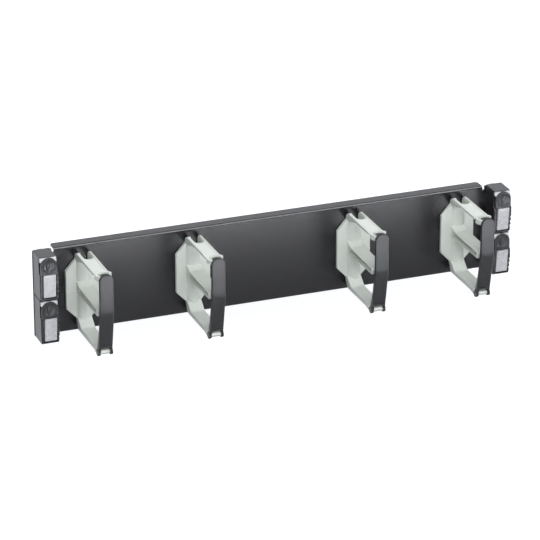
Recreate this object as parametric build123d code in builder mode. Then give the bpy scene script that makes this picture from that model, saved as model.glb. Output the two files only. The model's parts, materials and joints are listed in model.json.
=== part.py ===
from build123d import *
import os

# Horizontal cable manager, two rack units high, for the front of a server rack.
# A folded steel panel carries four moulded cable rings. Each ring has a hinged gate
# across its front, and each end of the panel has two quarter turn fasteners.
# Millimetres. X runs across the rack, the front faces -Y and Z is up. The origin is the
# middle of the panel's rear face, which lies on the rack's rails. The pieces are drawn
# with their heights from the panel's lower edge and moved down as they are written.
# A reach is a distance forward from the panel's front face.

# Panel
panel_width = 482.6
panel_height = 87.2
sheet = 1.5
bend_radius = 2.2
flange_depth = 13.0
ear_width = 18.7
flange_corner = 3.0
notch_width = 2.3
notch_depth = 4.3
ear_corner = 1.0

# Rack pattern
hole_inset = 8.75
rack_unit = 44.45

# Rings: base plate and column
ring_inset = 48.4
ring_spacing = 110.1
arm_width = 14.5
base_half = 17.25
base_thickness = 3.5
base_low = 13.5
base_side_low = 24.1
base_bevel = 11.4
base_headroom = 6.8
base_round = 0.8
column_half = 7.0
column_front = 6.9
column_rise = 1.0
pad_front = 7.9
arch_top = 36.5
arch_side = 34.2
arch_foot = 10.0

# Rings: top arm, its cable slot and its hook
top_height = 81.4
top_round = 7.0
top_front = 60.5
top_front_left = 56.9
top_tip_depth = 2.2
top_root_depth = 2.6
gusset_front = 28.0
gusset_depth = 8.6
rib_width = 1.25
rib_height = 0.9
slot_width = 9.2
slot_centre = 0.95
slot_front = 22.0
slot_depth = 10.4
hook_x = 1.2
hook_reach = 62.5
hook_inner = 6.3
hook_wall = 2.15
hook_depth = 4.6
hook_mouth_left = -5.0
hook_mouth_right = 7.4
hook_notch = -4.9
hook_notch_back = 57.1
hook_notch_front = 58.3

# Rings: middle arm
middle_top = 48.8
middle_tip = 47.6
middle_under = 41.0
middle_front = 66.5
middle_gusset = 52.4
middle_gusset_front = 12.5
pocket_low = 43.0
pocket_high = 47.0
pocket_back = 8.0
pocket_front = 64.0
web_width = 5.0

# Rings: lower arm
ring_foot = 13.0
crease_height = 16.2
lower_ramp_front = 14.7
lower_top = 7.2
lower_under = 3.4
lower_ramp_back = 6.3
lower_drop = 53.0
lower_front = 59.9
lower_tip = 1.7
arm_round = 1.0
arm_bend = 2.0
ramp_bend = 6.0
gusset_bend = 1.5

# Hinge between ring and gate
hinge_lead = 4.1
hinge_height = 3.6
barrel_radius = 2.2
barrel_half = 4.7
peg_radius = 1.1
peg_tip = 2.2
running_gap = 0.05

# Gates
gate_width = 13.6
gate_front = 75.0
gate_rise = 4.1
gate_knee = 46.0
gate_knee_radius = 40.0
gate_foot_lead = 4.5
gate_foot = 11.4
gate_depth = 3.0
gate_flare_top = 53.0
gate_flare_lead = 5.0
gate_flare_height = 30.0
gate_heel_lag = 1.4
gate_heel = 7.2
gate_wall = 1.7
gate_round = 1.0
nearly_level = 0.9
gate_hollow_gap = 4.6
knuckle_radius = 3.4
knuckle_half = 7.3
knuckle_gap = 0.2
cross_bar_radius = 1.3
cross_bar_lead = 3.0
cross_bar_height = 9.5
tab_width = 8.6
tab_x = 2.3
tab_reach = 62.3
tab_drop = 0.2
tab_depth = 3.4

# Fastener housings, from the block's left face and its foot
block_foot = 0.4
block_height = 43.7
block_top_width = 16.4
block_middle_width = 18.5
block_foot_width = 17.2
block_middle = 24.0
block_core = 14.0
block_front = 20.6
block_round = 0.5
axis_x = 8.4
axis_height = 35.2
cheek_left = 2.3
cheek_right = 16.6
cheek_right_high = 15.5
cheek_step = 18.4
cheek_step_height = 26.0
top_wall = 0.7
floor_wall = 1.0
tongue_gap_x = 0.5
tongue_gap = 0.6
tongue_gap_depth = 5.0
tongue_foot = 3.0
tooth_gap_depth = 1.6
tooth_gap_height = 1.8
tooth_gap_heights = (5.5, 10.0, 14.5, 19.0, 23.5)
fit_gap = 0.3
seat_gap = 0.05

# Fastener collars
collar_half = 8.1
collar_low = 26.2
collar_back = 21.9
collar_floor = 22.6
collar_front = 23.4
collar_round = 0.3
post_radius = 4.5
post_socket = 1.0

# Fastener slides
slide_travel = 1.2
slide_flange = 2.0
slide_low = 2.4
slide_left = 3.5
slide_right = 15.1
plate_top = 25.5
plate_front_top = 23.0
plate_front_low = 21.2
plate_wall = 1.4
plate_round = 0.4
shoulder_left = 0.4
shoulder_low = 38.8
shoulder_high = 42.8
shoulder_back = 18.7
shoulder_front = 21.7
shoulder_bevel_back = 20.2
shoulder_bevel_low = 39.9
nail_radius = 5.2
nail_height = 28.9
nail_back = 22.2

# Fastener knobs and cams
knob_radius = 7.2
knob_back = 22.8
knob_front = 23.8
knob_rim = 0.9
knob_dish = 0.55
knob_rib_width = 2.4
knob_rib_front = 24.5
knob_rib_round = 0.4
knob_rib_tilt = 8.0
spindle_radius = 2.5
ear_hole_radius = 3.2
cam_back = 2.6
cam_thickness = 2.0
cam_width = 5.0
cam_tongue = 6.5
cam_square = 3.4
cam_screw_radius = 1.2
cam_screw_length = 6.0
cam_screw_head = 2.3
cam_screw_head_height = 1.6
drive_width = 0.7
drive_length = 3.0
drive_depth = 1.0

# Flat head screws, countersunk into the panel from behind
screw_radius = 1.5
screw_head = 2.9
screw_hole = 1.7
ring_screw_grip = 3.6
ring_screw_heights = (26.5, 59.5)
housing_screw_grip = 8.0
housing_screw_heights = (8.5, 22.5)

# Worked out from the sizes above
rack_spacing = panel_width - 2 * hole_inset
flange_half = panel_width / 2 - ear_width - notch_width
ring_outer = panel_width / 2 - ring_inset
ring_inner = ring_outer - ring_spacing
ring_places = (-ring_outer, -ring_inner, ring_inner, ring_outer)
arm_half = arm_width / 2
base_high = top_height - base_headroom
base_side_high = base_high - base_bevel
top_under_front = top_height - top_tip_depth
top_under_back = top_height - top_root_depth
gusset_low = top_height - gusset_depth
slot_floor = top_height - slot_depth
hook_low = top_height - hook_depth
hook_outer = hook_inner + hook_wall
hinge_reach = lower_front + hinge_lead
gate_half = gate_width / 2
gate_foot_reach = hinge_reach + gate_foot_lead
gate_flare_reach = hinge_reach + gate_flare_lead
gate_heel_reach = hinge_reach - gate_heel_lag
cross_bar_reach = hinge_reach + cross_bar_lead
gate_inside = barrel_half + knuckle_gap
gate_top = top_height + gate_rise
gate_crown = gate_top - gate_half
tab_low = hook_low - tab_drop
tab_high = tab_low + tab_depth
gate_hollow_top = tab_low - gate_hollow_gap
gate_hollow_back = hinge_reach - knuckle_radius
spindle_bore = spindle_radius + running_gap
hinge_bore = peg_radius + running_gap
cam_bore = cam_square + 2 * running_gap
countersink = screw_head + seat_gap
block_places = [
    (side * rack_spacing / 2 - axis_x, 0, foot)
    for side in (-1, 1)
    for foot in (block_foot, block_foot + rack_unit)
]
block_names = ("left_lower", "left_upper", "right_lower", "right_upper")
fastener_axes = [(x + axis_x, z + axis_height) for x, y, z in block_places]
screw_places = [(x, z) for x in ring_places for z in ring_screw_heights]
screw_places += [
    (x + axis_x, z + height) for x, y, z in block_places for height in housing_screw_heights
]
corner = (Align.MIN, Align.MIN)
middle_foot = (Align.CENTER, Align.MIN)


def forward(reach):
    """An upright plane that faces the front at this reach."""
    return Plane.XZ.offset(sheet + reach)


def level(height):
    """A level plane with its origin under the panel's front face."""
    return Plane(origin=(0, -sheet, height), x_dir=(1, 0, 0), z_dir=(0, 0, 1))


def side_view(x=0):
    """An upright plane across the panel, with the reach first and then the height."""
    return Plane(origin=(x, -sheet, 0), x_dir=(0, -1, 0), z_dir=(-1, 0, 0))


def side_outline(corners, x=0):
    """A closed outline in the side view from corners of reach, height and rounding."""
    with BuildSketch(side_view(x)) as outline:
        with BuildLine():
            Polyline([(reach, height) for reach, height, rounding in corners], close=True)
        make_face()
        for reach, height, rounding in corners:
            if rounding:
                fillet(outline.vertices().sort_by_distance((reach, height))[0], rounding)
    return outline.sketch


def flat_head_screws(places, grip):
    """Screws at these places, with their heads flush with the panel's rear face."""
    start = (Align.CENTER, Align.CENTER, Align.MIN)
    with BuildPart() as screws:
        with Locations([Location((x, 0, z), (90, 0, 0)) for x, z in places]):
            Cone(screw_head, screw_radius, screw_head - screw_radius, align=start)
            Cylinder(screw_radius, sheet + grip, align=start)
    return screws.part


def write_copy(piece, name, place=(0, 0, 0)):
    """Writes one placed copy of a piece, with its heights from the panel's middle."""
    x, y, height = place
    with BuildPart() as placed:
        with Locations((x, y, height - panel_height / 2)):
            add(piece)
    placed.part.label = name
    export_step(placed.part, f"parts/{name}.step")


os.makedirs("parts", exist_ok=True)

# The panel: a web folded back along both long edges, with flat ears beyond the folds
with BuildPart() as panel:
    with BuildSketch(Plane.YZ) as fold:
        with Locations((-sheet, 0)):
            Rectangle(flange_depth, panel_height, align=corner)
        fillet(fold.vertices().group_by(Axis.X)[0], bend_radius)
        with Locations((0, sheet)):
            Rectangle(flange_depth, panel_height - 2 * sheet, align=corner, mode=Mode.SUBTRACT)
        inner_corners = fold.vertices().filter_by_position(Axis.Y, sheet / 2, panel_height - sheet / 2)
        fillet(inner_corners.group_by(Axis.X)[1], bend_radius - sheet)
    extrude(amount=flange_half, both=True)
    fillet(panel.edges().filter_by(Axis.Z).group_by(Axis.Y)[-1], flange_corner)
    with BuildSketch(Plane.XZ) as ears:
        for side in (-1, 1):
            with Locations((side * (flange_half + (notch_width + ear_width) / 2), panel_height / 2)):
                Rectangle(notch_width + ear_width, panel_height)
        ear_ends = ears.vertices().group_by(Axis.X)
        fillet(ear_ends[0] + ear_ends[-1], ear_corner)
        notch_x = flange_half + notch_width / 2
        with Locations([(side * notch_x, z) for side in (-1, 1) for z in (0, panel_height)]):
            SlotOverall(2 * notch_depth, notch_width, rotation=90, mode=Mode.SUBTRACT)
    extrude(amount=sheet)
    with BuildSketch(Plane.XZ):
        with Locations(fastener_axes):
            Circle(ear_hole_radius)
    extrude(amount=sheet, mode=Mode.SUBTRACT)
    with Locations([Location((x, 0, z), (-90, 0, 0)) for x, z in screw_places]):
        CounterSinkHole(screw_hole, countersink, sheet, counter_sink_angle=90)
write_copy(panel.part, "panel")

# A cable ring: base plate, column, three arms, the gate's hook and its hinge barrel
ring_corners = (
    (0, ring_foot, 0),
    (0, top_height, top_round),
    (top_front, top_height, 0),
    (top_front, top_under_front, 0),
    (gusset_front, top_under_back, 0),
    (base_thickness, gusset_low, 0),
    (base_thickness, middle_gusset, 0),
    (middle_gusset_front, middle_top, gusset_bend),
    (middle_front, middle_tip, arm_bend),
    (middle_front, middle_under, arm_bend),
    (base_thickness, middle_under, 0),
    (base_thickness, crease_height, 0),
    (lower_ramp_front, lower_top, ramp_bend),
    (lower_front, lower_top, arm_bend),
    (lower_front, lower_tip, 0),
    (lower_drop, lower_under, 0),
    (lower_ramp_back, lower_under, arm_bend),
)
# The thicker foot of a ring's column is half round and ends in an arch
with BuildPart() as pad:
    with BuildSketch(level(arch_foot)):
        with BuildLine():
            bow = ThreePointArc((-column_half, -base_thickness), (0, -pad_front), (column_half, -base_thickness))
            Line(bow @ 1, bow @ 0)
        make_face()
    extrude(amount=arch_top - arch_foot)
    with BuildSketch(forward(0)):
        with BuildLine():
            arch = ThreePointArc((-column_half, arch_side), (0, arch_top), (column_half, arch_side))
            Polyline(arch @ 1, (column_half, arch_foot), (-column_half, arch_foot), arch @ 0)
        make_face()
    extrude(amount=pad_front, mode=Mode.INTERSECT)
with BuildPart() as ring:
    with BuildSketch(forward(0)):
        with BuildLine():
            Polyline(
                (-arm_half, base_low),
                (arm_half, base_low),
                (base_half, base_side_low),
                (base_half, base_side_high),
                (arm_half, base_high),
                (-arm_half, base_high),
                (-base_half, base_side_high),
                (-base_half, base_side_low),
                close=True,
            )
        make_face()
    extrude(amount=base_thickness)
    fillet(ring.faces().sort_by(Axis.Y)[0].edges(), base_round)
    extrude(side_outline(ring_corners), amount=arm_half, both=True)
    # The two lower arms' long edges are rounded
    flanks = [face for face in ring.faces().filter_by(Axis.X) if abs(face.center().X) < arm_half + seat_gap]
    long_edges = ShapeList([edge for flank in flanks for edge in flank.edges()])
    long_edges = long_edges.filter_by_position(Axis.Z, lower_under + fit_gap, top_under_back)
    fillet(long_edges.filter_by(lambda edge: edge.center().Y < -sheet - base_thickness - fit_gap), arm_round)
    # The column is half round, with its thicker foot under the middle arm
    with BuildSketch(level(crease_height)):
        with BuildLine():
            bow = ThreePointArc((-column_half, -base_thickness), (0, -column_front), (column_half, -base_thickness))
            Line(bow @ 1, bow @ 0)
        make_face()
    extrude(amount=gusset_low + column_rise - crease_height)
    add(pad.part)
    # Pockets along both sides of the middle arm leave a beam with two flanges
    for side in (-1, 1):
        with BuildSketch(side_view(side * web_width / 2)):
            with Locations(((pocket_back + pocket_front) / 2, (pocket_low + pocket_high) / 2)):
                RectangleRounded(pocket_front - pocket_back, pocket_high - pocket_low, arm_round)
        extrude(amount=-side * arm_half, mode=Mode.SUBTRACT)
    # The top arm is a tray between two ribs, with its front edge cut at a slant
    with BuildSketch(level(top_height)):
        with Locations((0, -top_round)):
            Rectangle(arm_width - 2 * rib_width, top_front - top_round, align=(Align.CENTER, Align.MAX))
    extrude(amount=-rib_height, mode=Mode.SUBTRACT)
    with BuildSketch(level(gusset_low)):
        with BuildLine():
            Polyline((-arm_half, -top_front_left), (arm_half, -top_front), (-arm_half, -top_front), close=True)
        make_face()
    extrude(amount=top_height - gusset_low, mode=Mode.SUBTRACT)
    # The cable slot runs from the back edge down through the gusset
    with BuildSketch(level(slot_floor)):
        with Locations((slot_centre, 0)):
            Rectangle(slot_width, slot_front - slot_width / 2, align=(Align.CENTER, Align.MAX))
        with Locations((slot_centre, slot_width / 2 - slot_front)):
            Circle(slot_width / 2)
    extrude(amount=top_height - slot_floor, mode=Mode.SUBTRACT)
    # The hook is a ring open to the front, with a notch behind it at the left
    with BuildSketch(level(hook_low)):
        with Locations((hook_x, -hook_reach)):
            Circle(hook_inner)
    extrude(amount=top_height - hook_low, mode=Mode.SUBTRACT)
    with BuildSketch(level(hook_low)):
        with Locations((hook_x, -hook_reach)):
            Circle(hook_outer)
            Circle(hook_inner, mode=Mode.SUBTRACT)
        with BuildLine():
            hook_end = -hook_reach - hook_outer - fit_gap
            Polyline(
                (hook_x, -hook_reach),
                (hook_mouth_left, hook_end),
                (hook_x + hook_outer + fit_gap, hook_end),
                (hook_x + hook_outer + fit_gap, -top_front),
                (hook_mouth_right, -top_front),
                close=True,
            )
        make_face(mode=Mode.SUBTRACT)
    extrude(amount=top_height - hook_low)
    with BuildSketch(level(hook_low)):
        with Locations((hook_notch, -hook_notch_back)):
            Rectangle(arm_half, hook_notch_front - hook_notch_back, align=(Align.MAX, Align.MAX))
    extrude(amount=top_height - hook_low, mode=Mode.SUBTRACT)
    # The hinge barrel is the lower arm's narrower end
    with BuildSketch(side_view()):
        with Locations((hinge_reach, hinge_height)):
            Circle(barrel_radius)
        with Locations((lower_front - arm_round, (lower_top + lower_tip) / 2)):
            Rectangle(arm_round, lower_top - lower_tip - 2 * fit_gap)
        make_hull()
    extrude(amount=barrel_half, both=True)
    with BuildSketch(side_view()):
        with Locations((hinge_reach, hinge_height)):
            Circle(hinge_bore)
    extrude(amount=barrel_half, both=True, mode=Mode.SUBTRACT)
    # Blind holes for the two screws from behind
    with BuildSketch(forward(0)):
        with Locations([(0, height) for height in ring_screw_heights]):
            Circle(screw_radius + running_gap)
    extrude(amount=ring_screw_grip + seat_gap, mode=Mode.SUBTRACT)
for number, x in enumerate(ring_places, start=1):
    write_copy(ring.part, f"ring_{number}", (x, 0, 0))

# The ring's two screws, driven from behind the panel
ring_screws = flat_head_screws([(0, height) for height in ring_screw_heights], ring_screw_grip)
for number, x in enumerate(ring_places, start=1):
    write_copy(ring_screws, f"ring_screws_{number}", (x, 0, 0))

# A gate: a curved channel with a round top, a tab for the hook and a forked foot
with BuildPart() as gate:
    with BuildSketch(side_view()):
        with BuildLine():
            front_line = FilletPolyline(
                (gate_front - gate_depth, gate_top),
                (gate_front, gate_top),
                (gate_front, gate_knee),
                (gate_foot_reach, gate_foot),
                (hinge_reach + knuckle_radius, hinge_height),
                radius=(0, gate_knee_radius, 0),
            )
            foot_line = ThreePointArc(
                front_line @ 1,
                (hinge_reach, hinge_height - knuckle_radius),
                (hinge_reach - knuckle_radius, hinge_height),
            )
            heel_line = Line(foot_line @ 1, (gate_heel_reach, gate_heel))
            flare = ThreePointArc(
                heel_line @ 1,
                (gate_flare_reach, gate_flare_height),
                (gate_front - gate_depth, gate_flare_top),
            )
            Line(flare @ 1, front_line @ 0)
        make_face()
    extrude(amount=gate_half, both=True)
    with BuildSketch(forward(0)):
        Rectangle(gate_width, gate_crown, align=middle_foot)
        with Locations((0, gate_crown)):
            Circle(gate_half)
    extrude(amount=gate_front, mode=Mode.INTERSECT)
    front_faces = gate.faces().filter_by(lambda face: face.normal_at().Y < -nearly_level)
    rim_edges = ShapeList([edge for face in front_faces for edge in face.edges()])
    fillet(
        rim_edges.filter_by(lambda edge: abs(edge.center().X) > gate_inside or edge.center().Z > gate_crown),
        gate_round,
    )
    # The channel is open at the back, and at its foot only the two cheeks are left
    with BuildSketch(side_view()):
        with BuildLine():
            inner_line = FilletPolyline(
                (gate_hollow_back, gate_hollow_top),
                (gate_front - gate_wall, gate_hollow_top),
                (gate_front - gate_wall, gate_knee),
                (gate_foot_reach - gate_wall, gate_foot),
                (gate_foot_reach + gate_wall, gate_foot),
                (gate_foot_reach + gate_wall, hinge_height - knuckle_radius),
                (gate_hollow_back, hinge_height - knuckle_radius),
                radius=(0, gate_knee_radius - gate_wall, 0, 0, 0),
            )
            Line(inner_line @ 1, inner_line @ 0)
        make_face()
    extrude(amount=gate_inside, both=True, mode=Mode.SUBTRACT)
    with BuildSketch(level(tab_low)):
        with Locations((tab_x, -tab_reach)):
            Circle(tab_width / 2)
            Rectangle(tab_width, gate_front - gate_wall - tab_reach, align=(Align.CENTER, Align.MAX))
    extrude(amount=tab_high - tab_low)
    # A bar between the cheeks, and knuckles with pegs that turn in the ring's barrel
    with BuildSketch(side_view()):
        with Locations((cross_bar_reach, cross_bar_height)):
            Circle(cross_bar_radius)
    extrude(amount=gate_inside + gate_wall / 2, both=True)
    for side in (-1, 1):
        with BuildSketch(side_view(side * gate_inside)):
            with Locations((hinge_reach, hinge_height)):
                Circle(knuckle_radius)
        extrude(amount=-side * (knuckle_half - gate_inside))
        with BuildSketch(side_view(side * peg_tip)):
            with Locations((hinge_reach, hinge_height)):
                Circle(peg_radius)
        extrude(amount=-side * (gate_inside - peg_tip))
for number, x in enumerate(ring_places, start=1):
    write_copy(gate.part, f"gate_{number}", (x, 0, 0))

# A fastener housing: solid core, two cheeks, a roof and a springy tongue at the left
with BuildPart() as housing:
    with BuildSketch(forward(0)):
        with BuildLine():
            bulge = ThreePointArc(
                (block_foot_width, 0), (block_middle_width, block_middle), (block_top_width, block_height)
            )
            Polyline(bulge @ 1, (0, block_height), (0, 0), bulge @ 0)
        make_face()
    extrude(amount=block_front)
    fillet(housing.edges().filter_by(Axis.Y), block_round)
    with BuildSketch(forward(block_core)):
        with Locations((cheek_left, floor_wall)):
            Rectangle(cheek_right - cheek_left, cheek_step_height - floor_wall, align=corner)
            Rectangle(cheek_right_high - cheek_left, block_height - top_wall - floor_wall, align=corner)
    extrude(amount=block_front - block_core, mode=Mode.SUBTRACT)
    with BuildSketch(forward(cheek_step)):
        with Locations((0, cheek_step_height)):
            Rectangle(block_middle_width, block_height - top_wall - cheek_step_height, align=corner)
    extrude(amount=block_front - cheek_step, mode=Mode.SUBTRACT)
    with BuildSketch(forward(block_front)):
        with Locations((tongue_gap_x, tongue_foot)):
            Rectangle(tongue_gap, cheek_step_height - tongue_foot, align=corner)
            Rectangle(cheek_left - tongue_gap_x, tongue_gap, align=corner)
    extrude(amount=-tongue_gap_depth, mode=Mode.SUBTRACT)
    with BuildSketch(side_view(cheek_right_high)):
        with Locations([(block_front, height) for height in tooth_gap_heights]):
            Rectangle(2 * tooth_gap_depth, tooth_gap_height)
    extrude(amount=cheek_right_high - block_middle_width, mode=Mode.SUBTRACT)
    # Bore for the spindle, socket for the collar's post and blind holes for two screws
    with BuildSketch(forward(0)):
        with Locations((axis_x, axis_height)):
            Circle(spindle_bore)
    extrude(amount=block_core, mode=Mode.SUBTRACT)
    with BuildSketch(forward(block_core)):
        with Locations((axis_x, axis_height)):
            Circle(post_radius + seat_gap)
    extrude(amount=-post_socket, mode=Mode.SUBTRACT)
    with BuildSketch(forward(0)):
        with Locations([(axis_x, height) for height in housing_screw_heights]):
            Circle(screw_radius + running_gap)
    extrude(amount=housing_screw_grip + seat_gap, mode=Mode.SUBTRACT)

# Its collar: a plate with a round head, recessed for the knob, on a hollow post
with BuildPart() as collar:
    with BuildSketch(forward(collar_back)):
        with Locations((axis_x, axis_height)):
            Circle(collar_half)
        with Locations((axis_x, collar_low)):
            Rectangle(2 * collar_half, axis_height - collar_low, align=middle_foot)
    extrude(amount=collar_front - collar_back)
    fillet(collar.faces().sort_by(Axis.Y)[0].edges(), collar_round)
    with BuildSketch(forward(collar_floor)):
        with Locations((axis_x, axis_height)):
            Circle(knob_radius + fit_gap)
    extrude(amount=collar_front - collar_floor, mode=Mode.SUBTRACT)
    with BuildSketch(forward(collar_back)):
        with Locations((axis_x, axis_height)):
            Circle(post_radius)
    extrude(amount=block_core - post_socket - collar_back)
    with BuildSketch(forward(collar_floor)):
        with Locations((axis_x, axis_height)):
            Circle(spindle_bore)
    extrude(amount=block_core - post_socket - collar_floor, mode=Mode.SUBTRACT)

# Its slide: a leaning thumb plate below the collar and two shoulders beside it
flange_back = block_core + fit_gap
plate_corners = (
    (flange_back, slide_low, 0),
    (plate_front_low, slide_low, plate_round),
    (plate_front_top, plate_top, plate_round),
    (flange_back, plate_top, 0),
)
shoulder_corners = (
    (shoulder_back, shoulder_low, 0),
    (shoulder_front, shoulder_low, 0),
    (shoulder_front, shoulder_bevel_low, 0),
    (shoulder_bevel_back, shoulder_high, 0),
    (shoulder_back, shoulder_high, 0),
)
with BuildPart() as slide:
    extrude(side_outline(plate_corners, slide_left), amount=slide_left - slide_right)
    with BuildSketch(forward(flange_back)):
        with Locations((slide_left + plate_wall, slide_low + plate_wall)):
            Rectangle(
                slide_right - slide_left - 2 * plate_wall,
                plate_top - slide_low - 2 * plate_wall,
                align=corner,
            )
    extrude(amount=plate_front_low - plate_wall - flange_back, mode=Mode.SUBTRACT)
    with BuildSketch(forward(flange_back)):
        with Locations((slide_left, plate_top - plate_wall)):
            Rectangle(slide_right - slide_left, shoulder_high - plate_top + plate_wall, align=corner)
    extrude(amount=slide_flange)
    with BuildSketch(forward(flange_back)):
        with Locations((slide_left, shoulder_low)):
            Rectangle(slide_right - slide_left, shoulder_high - shoulder_low, align=corner)
    extrude(amount=shoulder_back - flange_back)
    extrude(side_outline(shoulder_corners, shoulder_left), amount=shoulder_left - block_top_width)
    # The slot round the collar's post gives the slide its travel
    with BuildSketch(forward(flange_back)):
        with Locations((axis_x, axis_height + slide_travel / 2)):
            SlotCenterToCenter(slide_travel, 2 * (post_radius + fit_gap), rotation=90)
    extrude(amount=shoulder_front - flange_back, mode=Mode.SUBTRACT)
    with BuildSketch(forward(nail_back)):
        with Locations((axis_x, nail_height)):
            Circle(nail_radius)
    extrude(amount=plate_front_top - nail_back, mode=Mode.SUBTRACT)

# Its knob: a dished disc with a slanting grip rib, on a spindle with a square tail
spindle_end = Plane.XZ.offset(-cam_back)
with BuildPart() as knob:
    with BuildSketch(forward(knob_back)):
        with Locations((axis_x, axis_height)):
            Circle(knob_radius)
    extrude(amount=knob_front - knob_back)
    with BuildSketch(forward(knob_front)):
        with Locations((axis_x, axis_height)):
            Circle(knob_radius - knob_rim)
    extrude(amount=-knob_dish, mode=Mode.SUBTRACT)
    with BuildSketch(forward(knob_front - knob_dish)):
        with Locations((axis_x, axis_height)):
            SlotOverall(2 * knob_radius - knob_rim, knob_rib_width, rotation=90 + knob_rib_tilt)
    extrude(amount=knob_rib_front - knob_front + knob_dish)
    fillet(knob.faces().sort_by(Axis.Y)[0].edges(), knob_rib_round)
    with BuildSketch(forward(knob_back)):
        with Locations((axis_x, axis_height)):
            Circle(spindle_radius)
    extrude(amount=-(knob_back + sheet + cam_back))
    with BuildSketch(spindle_end):
        with Locations((axis_x, axis_height)):
            Rectangle(cam_square, cam_square)
    extrude(amount=seat_gap - cam_thickness)
    with BuildSketch(Plane.XZ.offset(-cam_back - cam_thickness)):
        with Locations((axis_x, axis_height)):
            Circle(cam_screw_radius + running_gap)
    extrude(amount=cam_screw_length + seat_gap, mode=Mode.SUBTRACT)

# Its cam: a steel tongue that turns behind the rail, held by a screw
with BuildPart() as cam:
    with BuildSketch(spindle_end):
        with Locations((axis_x, axis_height)):
            Circle(cam_width / 2)
            Rectangle(cam_width, cam_tongue, align=middle_foot)
            Rectangle(cam_bore, cam_bore, mode=Mode.SUBTRACT)
    extrude(amount=-cam_thickness)
with BuildPart() as cam_screw:
    with BuildSketch(Plane.XZ.offset(-cam_back - cam_thickness)):
        with Locations((axis_x, axis_height)):
            Circle(cam_screw_head)
    extrude(amount=-cam_screw_head_height)
    fillet(cam_screw.edges().group_by(Axis.Y)[-1], cam_screw_head_height / 2)
    with BuildSketch(Plane.XZ.offset(-cam_back - cam_thickness - cam_screw_head_height)):
        with Locations((axis_x, axis_height)):
            Rectangle(drive_length, drive_width)
            Rectangle(drive_width, drive_length)
    extrude(amount=drive_depth, mode=Mode.SUBTRACT)
    with BuildSketch(Plane.XZ.offset(-cam_back - cam_thickness)):
        with Locations((axis_x, axis_height)):
            Circle(cam_screw_radius)
    extrude(amount=cam_screw_length)

# The two screws that hold a housing to its ear
housing_screws = flat_head_screws([(axis_x, height) for height in housing_screw_heights], housing_screw_grip)

for name, place in zip(block_names, block_places):
    write_copy(housing.part, f"housing_{name}", place)
    write_copy(collar.part, f"collar_{name}", place)
    write_copy(slide.part, f"slide_{name}", place)
    write_copy(knob.part, f"knob_{name}", place)
    write_copy(cam.part, f"cam_{name}", place)
    write_copy(cam_screw.part, f"cam_screw_{name}", place)
    write_copy(housing_screws, f"housing_screws_{name}", place)
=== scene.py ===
import json
import math
import bpy
from mathutils import Matrix, Vector


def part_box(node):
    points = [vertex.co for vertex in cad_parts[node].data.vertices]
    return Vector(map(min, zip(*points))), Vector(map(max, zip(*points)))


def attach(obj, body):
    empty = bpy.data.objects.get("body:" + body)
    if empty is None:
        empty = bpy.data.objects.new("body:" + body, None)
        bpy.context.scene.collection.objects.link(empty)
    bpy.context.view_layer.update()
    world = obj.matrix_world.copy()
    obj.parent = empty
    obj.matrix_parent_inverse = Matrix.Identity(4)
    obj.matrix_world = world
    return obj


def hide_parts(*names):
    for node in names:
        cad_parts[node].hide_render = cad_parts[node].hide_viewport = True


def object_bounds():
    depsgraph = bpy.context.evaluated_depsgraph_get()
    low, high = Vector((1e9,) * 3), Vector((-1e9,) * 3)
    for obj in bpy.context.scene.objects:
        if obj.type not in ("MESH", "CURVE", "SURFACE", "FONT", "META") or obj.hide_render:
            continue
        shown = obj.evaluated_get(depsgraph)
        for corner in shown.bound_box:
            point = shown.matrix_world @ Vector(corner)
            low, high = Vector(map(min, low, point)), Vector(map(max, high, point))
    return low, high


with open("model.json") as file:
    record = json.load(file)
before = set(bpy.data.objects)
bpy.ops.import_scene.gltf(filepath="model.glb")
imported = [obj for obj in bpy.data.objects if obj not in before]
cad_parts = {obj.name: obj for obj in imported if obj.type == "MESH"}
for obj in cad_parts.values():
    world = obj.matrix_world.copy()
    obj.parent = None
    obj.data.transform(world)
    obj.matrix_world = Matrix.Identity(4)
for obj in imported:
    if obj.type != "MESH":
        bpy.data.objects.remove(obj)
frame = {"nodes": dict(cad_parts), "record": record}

# Horizontal cable manager: finishes, light and camera. Lengths are metres.
cadLow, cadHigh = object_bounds()
print("frame loaded,", len(frame["nodes"]), "nodes")

photoWidth = 540  # pixels, the photograph's frame is square

cameraLook = {
    "azimuth": -20.98,  # degrees, seen from the front left
    "elevation": 23.12,
    "distance": 3.125,
    "target": (-0.00314, -0.0015, -0.01166),
    "focalPixels": 3235,
    "sensor": 36.0,
    "farthest": 20,
}


def addCamera(look):
    turn = math.radians(look["azimuth"])
    rise = math.radians(look["elevation"])
    back = Vector((math.sin(turn) * math.cos(rise), -math.cos(turn) * math.cos(rise), math.sin(rise)))
    place = Vector(look["target"]) + back * look["distance"]
    bpy.ops.object.camera_add(location=place, rotation=(-back).to_track_quat("-Z", "Y").to_euler())
    camera = bpy.context.object
    camera.name = "photoCamera"
    camera.data.sensor_width = look["sensor"]
    camera.data.lens = look["focalPixels"] / photoWidth * look["sensor"]
    camera.data.clip_end = look["farthest"]
    camera.data.dof.use_dof = False
    bpy.context.scene.camera = camera


addCamera(cameraLook)
print("camera placed")

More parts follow.
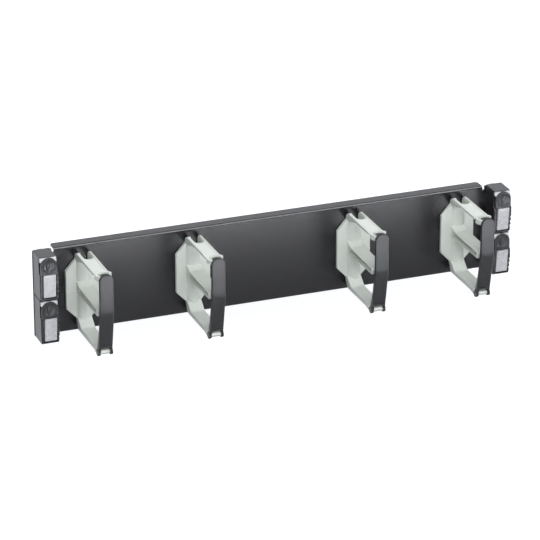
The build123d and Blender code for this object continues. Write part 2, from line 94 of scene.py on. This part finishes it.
studio = {
    "floorSize": 14.0,
    "floorDrop": 0.042,  # below the object's lowest point, so that an opened gate stays clear
    "paintColor": (0.5, 0.5, 0.5, 1),
    "paintRoughness": 0.9,
    "coolWhite": (0.965, 0.98, 1.02),
    "floorGlow": 0.77,  # an overexposed sweep, as in the photograph, with no shadow on it
    "domeGlow": 1.1,  # only the camera sees the dome, behind and above the floor
    "domeSegments": 48,
    "domeRings": 24,
    "sky": (
        # height of the direction, brightness
        (-1.0, 0.05), (-0.10, 0.10), (0.02, 0.55), (0.40, 0.65), (1.0, 0.35),
    ),
    "lights": (
        # name, place, aimed at, size, power, spread in degrees
        ("keyTop", (0.15, -1.25, 1.25), (0, 0, 0), (1.5, 0.8), 25, 180),
        ("leftFill", (-0.9, -1.6, 0.6), (0, 0, 0), (0.8, 0.8), 6, 180),
        ("backGlow", (0, 1.6, 0.75), (0, 0, 0), (4.0, 0.6), 8, 180),
        ("frontWash", (0.1, -0.69, 0.09), (0.1, -0.69, -0.1), (1.7, 0.74), 96, 60),
    ),
}


def addSky(look):
    world = bpy.context.scene.world or bpy.data.worlds.new("studioSky")
    bpy.context.scene.world = world
    world.use_nodes = True
    nodes, links = world.node_tree.nodes, world.node_tree.links
    backdrop = nodes.get("Background")
    direction = nodes.new("ShaderNodeTexCoord")
    parts = nodes.new("ShaderNodeSeparateXYZ")
    height = nodes.new("ShaderNodeMapRange")
    height.inputs["From Min"].default_value = -1
    shades = nodes.new("ShaderNodeValToRGB")
    links.new(direction.outputs["Generated"], parts.inputs["Vector"])
    links.new(parts.outputs["Z"], height.inputs["Value"])
    links.new(height.outputs["Result"], shades.inputs["Fac"])
    links.new(shades.outputs["Color"], backdrop.inputs["Color"])
    stops = shades.color_ramp.elements
    while len(stops) < len(look["sky"]):
        stops.new(0.5)
    brightest = max(level for rise, level in look["sky"])
    for stop, (rise, level) in zip(stops, look["sky"]):
        stop.position = (rise + 1) / 2
        stop.color = (*(part * level / brightest for part in look["coolWhite"]), 1)
    backdrop.inputs["Strength"].default_value = brightest


def glowPaint(look, name, glow):
    paint = bpy.data.materials.new(name)
    paint.use_nodes = True
    shader = paint.node_tree.nodes["Principled BSDF"]
    shader.inputs["Base Color"].default_value = look["paintColor"]
    shader.inputs["Roughness"].default_value = look["paintRoughness"]
    shader.inputs["Specular IOR Level"].default_value = 0.0
    shader.inputs["Emission Color"].default_value = (*look["coolWhite"], 1)
    shader.inputs["Emission Strength"].default_value = glow
    return paint


def addStudio(look):
    bpy.context.scene.view_settings.view_transform = "Standard"
    addSky(look)
    bpy.ops.object.select_all(action="DESELECT")
    bpy.ops.mesh.primitive_plane_add(size=look["floorSize"], location=(0, 0, cadLow.z - look["floorDrop"]))
    floor = bpy.context.object
    floor.name = "studioFloor"
    floor.visible_diffuse = False  # the undersides stay dark
    floor.data.materials.append(glowPaint(look, "floorPaint", look["floorGlow"]))
    bpy.ops.mesh.primitive_uv_sphere_add(
        segments=look["domeSegments"], ring_count=look["domeRings"], radius=look["floorSize"] / 2)
    dome = bpy.context.object
    dome.name = "studioDome"
    dome.data.materials.append(glowPaint(look, "domePaint", look["domeGlow"]))
    dome.visible_diffuse = dome.visible_glossy = dome.visible_transmission = dome.visible_shadow = False
    for name, place, aim, size, power, spread in look["lights"]:
        bpy.ops.object.light_add(type="AREA", location=place)
        light = bpy.context.object
        light.name = name
        light.rotation_euler = (Vector(aim) - Vector(place)).to_track_quat("-Z", "Y").to_euler()
        light.data.shape = "RECTANGLE"
        light.data.size, light.data.size_y = size
        light.data.energy = power
        light.data.color = look["coolWhite"]
        light.data.spread = math.radians(spread)
        light.visible_camera = False


addStudio(studio)
print("studio lit")


def startMaterial(name):
    material = bpy.data.materials.new(name)
    material.use_nodes = True
    nodes = material.node_tree.nodes
    return material, nodes, material.node_tree.links, nodes["Principled BSDF"]


def noiseFrom(nodes, links, scale, detail, roughness=0.55):
    place = nodes.new("ShaderNodeTexCoord")
    noise = nodes.new("ShaderNodeTexNoise")
    noise.inputs["Scale"].default_value = scale
    noise.inputs["Detail"].default_value = detail
    noise.inputs["Roughness"].default_value = roughness
    links.new(place.outputs["Object"], noise.inputs["Vector"])
    return noise.outputs["Fac"]


def colorBetween(nodes, links, source, low, high, start=0.3, end=0.7):
    ramp = nodes.new("ShaderNodeValToRGB")
    ramp.color_ramp.elements[0].position = start
    ramp.color_ramp.elements[0].color = (*low, 1)
    ramp.color_ramp.elements[1].position = end
    ramp.color_ramp.elements[1].color = (*high, 1)
    links.new(source, ramp.inputs["Fac"])
    return ramp.outputs["Color"]


def valueBetween(nodes, links, source, low, high, start=0.3, end=0.7):
    remap = nodes.new("ShaderNodeMapRange")
    remap.inputs["From Min"].default_value = start
    remap.inputs["From Max"].default_value = end
    remap.inputs["To Min"].default_value = low
    remap.inputs["To Max"].default_value = high
    links.new(source, remap.inputs["Value"])
    return remap.outputs["Result"]


def mixColors(nodes, links, kind, factor, first, second):
    mix = nodes.new("ShaderNodeMix")
    mix.data_type = "RGBA"
    mix.blend_type = kind
    if isinstance(factor, float):
        mix.inputs["Factor"].default_value = factor
    else:
        links.new(factor, mix.inputs["Factor"])
    links.new(first, mix.inputs["A"])
    links.new(second, mix.inputs["B"])
    return mix.outputs["Result"]


cornerLook = {
    "samples": 6,
    "corner": (0.80, 0.98),  # how far the rounded normal leans: fully pale, not pale
    "least": 0.25,  # paleness in the noise's dark patches
    "patches": (0.35, 0.6),
}


def roundedNormal(nodes, radius):
    rounded = nodes.new("ShaderNodeBevel")
    rounded.samples = cornerLook["samples"]
    rounded.inputs["Radius"].default_value = radius
    return rounded.outputs["Normal"]


def edgeMask(nodes, links, width, noise):
    # 1 beside a corner and 0 on the flats, broken up by a noise
    flat = nodes.new("ShaderNodeNewGeometry")
    compare = nodes.new("ShaderNodeVectorMath")
    compare.operation = "DOT_PRODUCT"
    links.new(roundedNormal(nodes, width), compare.inputs[0])
    links.new(flat.outputs["Normal"], compare.inputs[1])
    near = valueBetween(nodes, links, compare.outputs["Value"], 1.0, 0.0, *cornerLook["corner"])
    broken = nodes.new("ShaderNodeMath")
    broken.operation = "MULTIPLY"
    links.new(near, broken.inputs[0])
    patches = valueBetween(nodes, links, noise, cornerLook["least"], 1.0, *cornerLook["patches"])
    links.new(patches, broken.inputs[1])
    return broken.outputs["Value"]


def addBump(nodes, links, shader, height, look):
    bump = nodes.new("ShaderNodeBump")
    bump.inputs["Strength"].default_value = look["bump"]
    bump.inputs["Distance"].default_value = look["bumpDepth"]
    links.new(height, bump.inputs["Height"])
    links.new(roundedNormal(nodes, look["edgeRadius"]), bump.inputs["Normal"])
    links.new(bump.outputs["Normal"], shader.inputs["Normal"])


powderCoat = {
    "dark": (0.0022, 0.0022, 0.0026), "light": (0.0038, 0.0038, 0.0044), "edge": (0.04, 0.04, 0.042),
    "cloudScale": 9, "cloudDetail": 4, "cloudSpan": (0.1, 0.9),
    "peelScale": 900, "peelDetail": 2, "peelSpan": (0.4, 0.6),
    "roughness": (0.255, 0.28), "edgeRadius": 0.0003, "cornerWidth": 0.0006,
    "bump": 0.05, "bumpDepth": 0.0002, "specular": 0.28,
    # pale colours of the painted highlight along the panel's top bend
    "bendHighlightDark": (0.16, 0.16, 0.165), "bendHighlightLight": (0.28, 0.28, 0.285),
    "bendHighlightSlope": (-0.48, -0.36),  # the normal's Z times its Y: full painted highlight, no painted highlight
    "bendHighlightLeast": 0.8,
}


def paintedBendMask(nodes, links, noise, look):
    # 1 on the middle of the panel's top bend and 0 elsewhere, where a highlight is painted along the bend
    turn = nodes.new("ShaderNodeNewGeometry")
    parts = nodes.new("ShaderNodeSeparateXYZ")
    slope = nodes.new("ShaderNodeMath")
    slope.operation = "MULTIPLY"  # the normal's Z times its Y, lowest halfway round the top bend
    links.new(turn.outputs["Normal"], parts.inputs["Vector"])
    links.new(parts.outputs["Z"], slope.inputs[0])
    links.new(parts.outputs["Y"], slope.inputs[1])
    halfway = valueBetween(nodes, links, slope.outputs["Value"], 1.0, 0.0, *look["bendHighlightSlope"])
    broken = nodes.new("ShaderNodeMath")
    broken.operation = "MULTIPLY"
    links.new(halfway, broken.inputs[0])
    links.new(valueBetween(nodes, links, noise, look["bendHighlightLeast"], 1.0), broken.inputs[1])
    return broken.outputs["Value"]


def makePowderCoat(look):
    # Thin black coat on the folded sheet: orange peel, cloudy gloss, paler corners and a painted highlight
    # along the top bend
    material, nodes, links, shader = startMaterial("powderCoatBlack")
    cloud = noiseFrom(nodes, links, look["cloudScale"], look["cloudDetail"])
    peel = noiseFrom(nodes, links, look["peelScale"], look["peelDetail"])
    paleCorners = edgeMask(nodes, links, look["cornerWidth"], cloud)
    coat = colorBetween(nodes, links, cloud, look["dark"], look["light"], *look["cloudSpan"])
    bare = colorBetween(nodes, links, peel, look["light"], look["edge"], *look["peelSpan"])
    edged = mixColors(nodes, links, "MIX", paleCorners, coat, bare)
    # painted highlight: a pale line along the top bend, standing in for the light the bend catches
    paintedBendHighlight = colorBetween(nodes, links, peel, look["bendHighlightDark"], look["bendHighlightLight"])
    bend = paintedBendMask(nodes, links, cloud, look)
    links.new(mixColors(nodes, links, "MIX", bend, edged, paintedBendHighlight), shader.inputs["Base Color"])
    gloss = valueBetween(nodes, links, cloud, *look["roughness"], *look["cloudSpan"])
    links.new(gloss, shader.inputs["Roughness"])
    addBump(nodes, links, shader, peel, look)
    shader.inputs["Specular IOR Level"].default_value = look["specular"]
    return material


# each edge colour is laid on the corners: partly wear, partly a painted edge highlight
plastics = {
    "ring_plastic": {
        "dark": (0.685, 0.72, 0.66), "light": (0.72, 0.75, 0.69), "edge": (0.88, 0.90, 0.86),
        "cloudScale": 45, "grainScale": 1500, "roughness": (0.38, 0.48), "edgeRadius": 0.00015,
        "cornerWidth": 0.0005, "speckle": 0.16, "bump": 0.06, "bumpDepth": 0.0001, "specular": 0.4,
    },
    "gate_plastic": {
        "dark": (0.008, 0.008, 0.009), "light": (0.013, 0.013, 0.0145), "edge": (0.07, 0.07, 0.073),
        "cloudScale": 60, "grainScale": 900, "roughness": (0.32, 0.40), "edgeRadius": 0.0003,
        "cornerWidth": 0.0006, "speckle": 0.4, "bump": 0.10, "bumpDepth": 0.0001, "specular": 0.30,
    },
    "housing_plastic": {
        "dark": (0.010, 0.010, 0.011), "light": (0.017, 0.017, 0.0185), "edge": (0.10, 0.10, 0.105),
        "cloudScale": 80, "grainScale": 1100, "roughness": (0.28, 0.36), "edgeRadius": 0.0002,
        "cornerWidth": 0.0005, "speckle": 0.4, "bump": 0.12, "bumpDepth": 0.0001, "specular": 0.42,
    },
    "knob_plastic": {
        "dark": (0.030, 0.030, 0.032), "light": (0.046, 0.046, 0.0485), "edge": (0.10, 0.10, 0.105),
        "cloudScale": 120, "grainScale": 1300, "roughness": (0.24, 0.31), "edgeRadius": 0.0002,
        "cornerWidth": 0.0004, "speckle": 0.3, "bump": 0.08, "bumpDepth": 0.0001, "specular": 0.24,
    },
    "slide_plastic": {
        "dark": (0.60, 0.605, 0.615), "light": (0.74, 0.745, 0.755), "edge": (0.95, 0.95, 0.95),
        "cloudScale": 260, "grainScale": 1100, "roughness": (0.34, 0.44), "edgeRadius": 0.0002,
        "cornerWidth": 0.0006, "speckle": 0.6, "bump": 0.15, "bumpDepth": 0.00015, "specular": 0.4,
    },
}


grainLook = {
    "cloudDetail": 4, "grainDetail": 3, "grainRoughness": 0.7,
    "speckleDark": (0.62, 0.62, 0.62), "speckleLight": (1, 1, 1), "speckleSpan": (0.35, 0.6),
    "paleSpan": (0.35, 0.55),
}


def makePlastic(slot, look):
    # Moulded plastic: clouds of colour, fine eroded grain and paler, smoother corners, partly edge wear and
    # partly a painted edge highlight
    material, nodes, links, shader = startMaterial(slot + "Moulded")
    cloud = noiseFrom(nodes, links, look["cloudScale"], grainLook["cloudDetail"])
    grain = noiseFrom(
        nodes, links, look["grainScale"], grainLook["grainDetail"], grainLook["grainRoughness"])
    paleCorners = edgeMask(nodes, links, look["cornerWidth"], cloud)
    tone = colorBetween(nodes, links, cloud, look["dark"], look["light"])
    speckle = colorBetween(
        nodes, links, grain, grainLook["speckleDark"], grainLook["speckleLight"], *grainLook["speckleSpan"])
    grained = mixColors(nodes, links, "MULTIPLY", look["speckle"], tone, speckle)
    pale = colorBetween(nodes, links, grain, look["light"], look["edge"], *grainLook["paleSpan"])
    # paler corners: partly edge wear, partly a painted edge highlight
    links.new(mixColors(nodes, links, "MIX", paleCorners, grained, pale), shader.inputs["Base Color"])
    links.new(valueBetween(nodes, links, grain, *look["roughness"]), shader.inputs["Roughness"])
    addBump(nodes, links, shader, grain, look)
    shader.inputs["Specular IOR Level"].default_value = look["specular"]
    return material


zincPlate = {
    "dark": (0.50, 0.50, 0.48), "light": (0.66, 0.66, 0.64), "edge": (0.80, 0.80, 0.78),
    "cloudScale": 220, "cloudDetail": 4, "scratchScale": 2600, "scratchDetail": 2, "roughness": (0.24, 0.40),
    "edgeRadius": 0.00012, "cornerWidth": 0.0003, "bump": 0.08, "bumpDepth": 0.00005,
}


def makeZincPlate(look):
    # Plated screws and cams: blotchy plating with fine scratches
    material, nodes, links, shader = startMaterial("zincPlated")
    cloud = noiseFrom(nodes, links, look["cloudScale"], look["cloudDetail"])
    scratch = noiseFrom(nodes, links, look["scratchScale"], look["scratchDetail"])
    paleCorners = edgeMask(nodes, links, look["cornerWidth"], cloud)
    plating = colorBetween(nodes, links, cloud, look["dark"], look["light"])
    polished = colorBetween(nodes, links, scratch, look["light"], look["edge"])
    links.new(mixColors(nodes, links, "MIX", paleCorners, plating, polished), shader.inputs["Base Color"])
    links.new(valueBetween(nodes, links, scratch, *look["roughness"]), shader.inputs["Roughness"])
    addBump(nodes, links, shader, scratch, look)
    shader.inputs["Metallic"].default_value = 1.0
    return material


finishes = {slot: makePlastic(slot, look) for slot, look in plastics.items()}
finishes["panel_steel"] = makePowderCoat(powderCoat)
finishes["plated_steel"] = makeZincPlate(zincPlate)
slotOf = {entry["node"]: entry["material_slot"] for entry in frame["record"]["subparts"]}
blockNames = ("left_lower", "left_upper", "right_lower", "right_upper")
for nodeName, piece in frame["nodes"].items():
    piece.data.materials.clear()
    piece.data.materials.append(finishes[slotOf[nodeName]])
print("finishes given to", len(frame["nodes"]), "nodes")


frontward = -0.9  # a face whose normal's Y is below this looks to the front
smoothAngle = math.radians(35)


def settle():
    # Puts the place, turn and scale of the object in hand into its mesh
    bpy.ops.object.transform_apply(location=True, rotation=True, scale=True)
    return bpy.context.object


def joinPieces(pieces):
    bpy.ops.object.select_all(action="DESELECT")
    for piece in pieces:
        piece.select_set(True)
    bpy.context.view_layer.objects.active = pieces[0]
    bpy.ops.object.join()
    return settle()


def applyModifier(piece, kind, **settings):
    bpy.context.view_layer.objects.active = piece
    modifier = piece.modifiers.new(kind.title(), kind)
    for name, value in settings.items():
        setattr(modifier, name, value)
    bpy.ops.object.modifier_apply(modifier=modifier.name)


def selectFront(piece):
    # Leaves only the faces that look to the front selected, in edit mode
    bpy.ops.object.mode_set(mode="EDIT")
    bpy.ops.mesh.select_mode(type="FACE")
    bpy.ops.mesh.select_all(action="DESELECT")
    bpy.ops.object.mode_set(mode="OBJECT")
    for face in piece.data.polygons:
        face.select = face.normal.y < frontward
    bpy.ops.object.mode_set(mode="EDIT")


def copyPiece(master, name, offset):
    piece = master.copy()
    piece.data = master.data.copy()
    piece.name = piece.data.name = name
    bpy.context.collection.objects.link(piece)
    piece.data.transform(Matrix.Translation(offset))
    return piece


knobLook = {
    "segments": 72, "ridgeSegments": 32, "ridgeRings": 18, "spindleSegments": 32,
    "discRadius": 0.0072, "discThickness": 0.0013, "rimWidth": 0.0009,
    "bowl": ((0.0004, -0.00055), (0.0012, -0.00026), (0.0016, -0.00012)),  # width and drop of each step
    "ridge": (0.0020, 0.0012, 0.0046), "ridgeTilt": 8, "ridgeX": -0.0007, "discDrop": 0.0006,
    "spindleRadius": 0.0025, "squareWidth": 0.0034, "tailLength": 0.002,
    "edge": 0.00022, "discSteps": 3, "spindleSteps": 2,
}


def modelKnob(look, node):
    # A dished disc with a soft slanting grip ridge, on a spindle with a square tail
    low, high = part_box(node)
    axis = (low + high) / 2
    front = low.y + look["discDrop"]
    back = front + look["discThickness"]
    tail = high.y - look["tailLength"]
    bpy.ops.object.select_all(action="DESELECT")
    bpy.ops.mesh.primitive_cylinder_add(
        vertices=look["segments"], radius=look["discRadius"], depth=look["discThickness"],
        location=(axis.x, (front + back) / 2, axis.z), rotation=(math.pi / 2, 0, 0))
    disc = settle()
    selectFront(disc)
    bpy.ops.mesh.inset(thickness=look["rimWidth"])
    for width, drop in look["bowl"]:
        bpy.ops.mesh.inset(thickness=width, depth=drop)
    bpy.ops.object.mode_set(mode="OBJECT")
    applyModifier(disc, "BEVEL", width=look["edge"], segments=look["discSteps"], limit_method="ANGLE")
    bpy.ops.mesh.primitive_uv_sphere_add(
        segments=look["ridgeSegments"], ring_count=look["ridgeRings"], radius=1,
        location=(axis.x + look["ridgeX"], back - look["ridge"][1] / 2, axis.z),
        rotation=(0, math.radians(look["ridgeTilt"]), 0), scale=look["ridge"])
    ridge = settle()
    bpy.ops.mesh.primitive_cylinder_add(
        vertices=look["spindleSegments"], radius=look["spindleRadius"], depth=tail - back,
        location=(axis.x, (tail + back) / 2, axis.z), rotation=(math.pi / 2, 0, 0))
    spindle = settle()
    applyModifier(spindle, "BEVEL", width=look["edge"], segments=look["spindleSteps"], limit_method="ANGLE")
    bpy.ops.mesh.primitive_cube_add(
        size=1, location=(axis.x, tail + look["tailLength"] / 2, axis.z),
        scale=(look["squareWidth"], look["tailLength"], look["squareWidth"]))
    square = settle()
    applyModifier(square, "BEVEL", width=look["edge"], segments=look["spindleSteps"], limit_method="ANGLE")
    knob = joinPieces([disc, ridge, spindle, square])
    bpy.ops.object.shade_smooth_by_angle(angle=smoothAngle)
    return knob


firstKnob = modelKnob(knobLook, "knob_left_lower")
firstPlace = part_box("knob_left_lower")[0]
for blockName in blockNames:
    knob = copyPiece(firstKnob, "knobFace_" + blockName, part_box("knob_" + blockName)[0] - firstPlace)
    knob.data.materials.clear()
    knob.data.materials.append(finishes["knob_plastic"])
    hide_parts("knob_" + blockName)
    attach(knob, "turn_" + blockName)
bpy.data.objects.remove(firstKnob)
print("knobs modelled")

screwLook = {
    "segments": 48, "headRadius": 0.0029, "shankRadius": 0.0015,
    "crossLength": 0.0033, "crossWidth": 0.0008, "crossDepth": 0.0011, "crossTaper": 0.55,
    "edge": 0.00008, "edgeSteps": 2,
}


def crossCutter(look, turned):
    # A wedge that cuts one arm of the cross recess, narrower at its foot
    bpy.ops.object.select_all(action="DESELECT")
    bpy.ops.mesh.primitive_cube_add(
        size=1, scale=(look["crossLength"], 2 * look["crossDepth"], look["crossWidth"]))
    cutter = settle()
    selectFront(cutter)
    bpy.ops.transform.resize(value=(look["crossTaper"], 1, look["crossTaper"]))
    bpy.ops.object.mode_set(mode="OBJECT")
    cutter.rotation_euler.y = math.radians(90 if turned else 0)
    return settle()


def modelScrew(look, length):
    # A flat head screw with its face at the origin, its tip to the front and a cross recess
    headDepth = look["headRadius"] - look["shankRadius"]
    bpy.ops.object.select_all(action="DESELECT")
    bpy.ops.mesh.primitive_cone_add(
        vertices=look["segments"], radius1=look["headRadius"], radius2=look["shankRadius"], depth=headDepth,
        location=(0, -headDepth / 2, 0), rotation=(math.pi / 2, 0, 0))
    screw = settle()
    selectFront(screw)
    bpy.ops.mesh.extrude_region_move(TRANSFORM_OT_translate={"value": (0, headDepth - length, 0)})
    bpy.ops.object.mode_set(mode="OBJECT")
    for turned in (False, True):
        cutter = crossCutter(look, turned)
        applyModifier(screw, "BOOLEAN", operation="DIFFERENCE", object=cutter, solver="EXACT")
        bpy.data.objects.remove(cutter)
    applyModifier(screw, "BEVEL", width=look["edge"], segments=look["edgeSteps"], limit_method="ANGLE")
    return screw


def placeScrews(look, nodes):
    low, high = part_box(nodes[0])
    master = modelScrew(look, high.y - low.y)
    for node in nodes:
        low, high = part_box(node)
        middle = (low.x + high.x) / 2
        pair = [
            copyPiece(master, node + "_cross", (middle, high.y, height))
            for height in (low.z + look["headRadius"], high.z - look["headRadius"])
        ]
        screws = joinPieces(pair)
        screws.data.materials.clear()
        screws.data.materials.append(finishes["plated_steel"])
        bpy.ops.object.shade_smooth_by_angle(angle=smoothAngle)
        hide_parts(node)
        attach(screws, "frame")
    bpy.data.objects.remove(master)


placeScrews(screwLook, ["ring_screws_" + str(number) for number in range(1, 5)])
placeScrews(screwLook, ["housing_screws_" + blockName for blockName in blockNames])
print("screws modelled")
